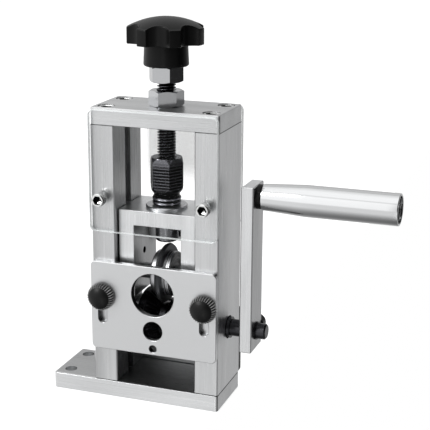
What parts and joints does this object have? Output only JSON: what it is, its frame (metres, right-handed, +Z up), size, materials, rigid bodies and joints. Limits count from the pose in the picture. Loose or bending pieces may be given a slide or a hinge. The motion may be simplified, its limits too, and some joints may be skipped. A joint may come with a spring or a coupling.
{
  "type": "manual wire stripping machine",
  "caption": "Hand-cranked wire stripper: grooved feed roller under a cutting wheel whose height a star knob sets, in an upright aluminium frame.",
  "frame": {"origin": "middle of the upright frame, on the underside of the base plate", "axes": "+X along the shaft towards the crank, +Y towards the rear where the stripped wire leaves, +Z up"},
  "size_m": [0.1829, 0.053, 0.2033],
  "materials": {
    "aluminium": "satin machined",
    "slider_alu": "satin machined",
    "handle_alu": "polished, brushed lengthwise",
    "clear": "clear acrylic",
    "black_metal": "black oxide, semi-gloss",
    "black_plastic": "moulded, semi-matte",
    "steel": "turned",
    "zinc": "bright zinc plated",
    "dark_steel": "hardened, ground",
    "bronze": "sintered bronze"
  },
  "bodies": {
    "frame": {"base_plate": "aluminium", "column_left": "aluminium", "column_right": "aluminium", "top_plate": "aluminium", "top_plate_screws": "zinc", "base_screws": "zinc", "front_guard": "clear", "rear_guard": "clear", "front_guard_screws": "zinc", "rear_guard_screws": "zinc", "shaft_bearing_outer_left": "steel", "shaft_bearing_outer_right": "steel", "rear_plate": "black_metal", "rear_plate_screws": "zinc"},
    "lock_nut": {"lock_nut": "steel"},
    "slider": {"slider_block": "slider_alu", "slider_washer": "zinc", "cutter_axle": "steel", "axle_spacer_left": "aluminium", "axle_spacer_right": "aluminium", "cutter_bearing_inner_rings": "steel", "axle_set_screws": "black_metal"},
    "screw": {"adjusting_screw": "black_metal", "star_knob": "black_plastic", "knob_nut": "steel", "coupling_nut": "black_metal", "retaining_ring": "dark_steel"},
    "cutter": {"cutter_blade": "dark_steel", "cutter_flange_left": "steel", "cutter_flange_right": "steel", "cutter_bearing_outer_rings": "steel", "flange_screws": "black_metal"},
    "crank": {"drive_shaft": "black_metal", "feed_roller": "black_metal", "roller_set_screws": "black_metal", "crank_arm": "aluminium", "arm_screw": "black_metal", "arm_ring": "black_metal", "shaft_bearing_inner_left": "steel", "shaft_bearing_inner_right": "steel", "shaft_spacer_left": "steel", "shaft_spacer_right": "steel", "handle_bolt": "black_metal", "handle_washer": "black_plastic"},
    "handle": {"handle_grip": "handle_alu", "handle_bushes": "bronze"},
    "guide": {"guide_plate": "aluminium"},
    "thumb_left": {"thumb_knob_left": "black_plastic", "thumb_stud_left": "steel"},
    "thumb_right": {"thumb_knob_right": "black_plastic", "thumb_stud_right": "steel"}
  },
  "joints": [
    {"name": "slider_slide", "type": "slide", "parent": "frame", "child": "slider", "axis": [0, 0, 1], "range_m": [-0.0005, 0.016]},
    {"name": "knob_turn", "type": "hinge", "parent": "slider", "child": "screw", "pos_m": [0, 0, 0.17], "axis": [0, 0, 1], "range_deg": [-121, 3841]},
    {"name": "cutter_spin", "type": "hinge", "parent": "slider", "child": "cutter", "pos_m": [0, 0, 0.0678], "axis": [1, 0, 0], "continuous": true},
    {"name": "crank_turn", "type": "hinge", "parent": "frame", "child": "crank", "pos_m": [0, 0, 0.0415], "axis": [1, 0, 0], "continuous": true},
    {"name": "handle_spin", "type": "hinge", "parent": "crank", "child": "handle", "pos_m": [0.08, 0, 0.1144], "axis": [1, 0, 0], "continuous": true},
    {"name": "guide_slide", "type": "slide", "parent": "frame", "child": "guide", "axis": [0, 0, 1], "range_m": [-0.0008, 0.0128]},
    {"name": "thumb_left_turn", "type": "hinge", "parent": "frame", "child": "thumb_left", "pos_m": [-0.0285, -0.0245, 0.0582], "axis": [0, -1, 0], "range_deg": [0, 360]},
    {"name": "thumb_right_turn", "type": "hinge", "parent": "frame", "child": "thumb_right", "pos_m": [0.0285, -0.0245, 0.0582], "axis": [0, -1, 0], "range_deg": [0, 360]},
    {"name": "lock_nut_turn", "type": "hinge", "parent": "frame", "child": "lock_nut", "pos_m": [0, 0, 0.162], "axis": [0, 0, 1], "range_deg": [0, 180]}
  ],
  "couplings": [
    {"joint": "knob_turn", "follows": "slider_slide", "rad_per_m": 4188.8}
  ]
}
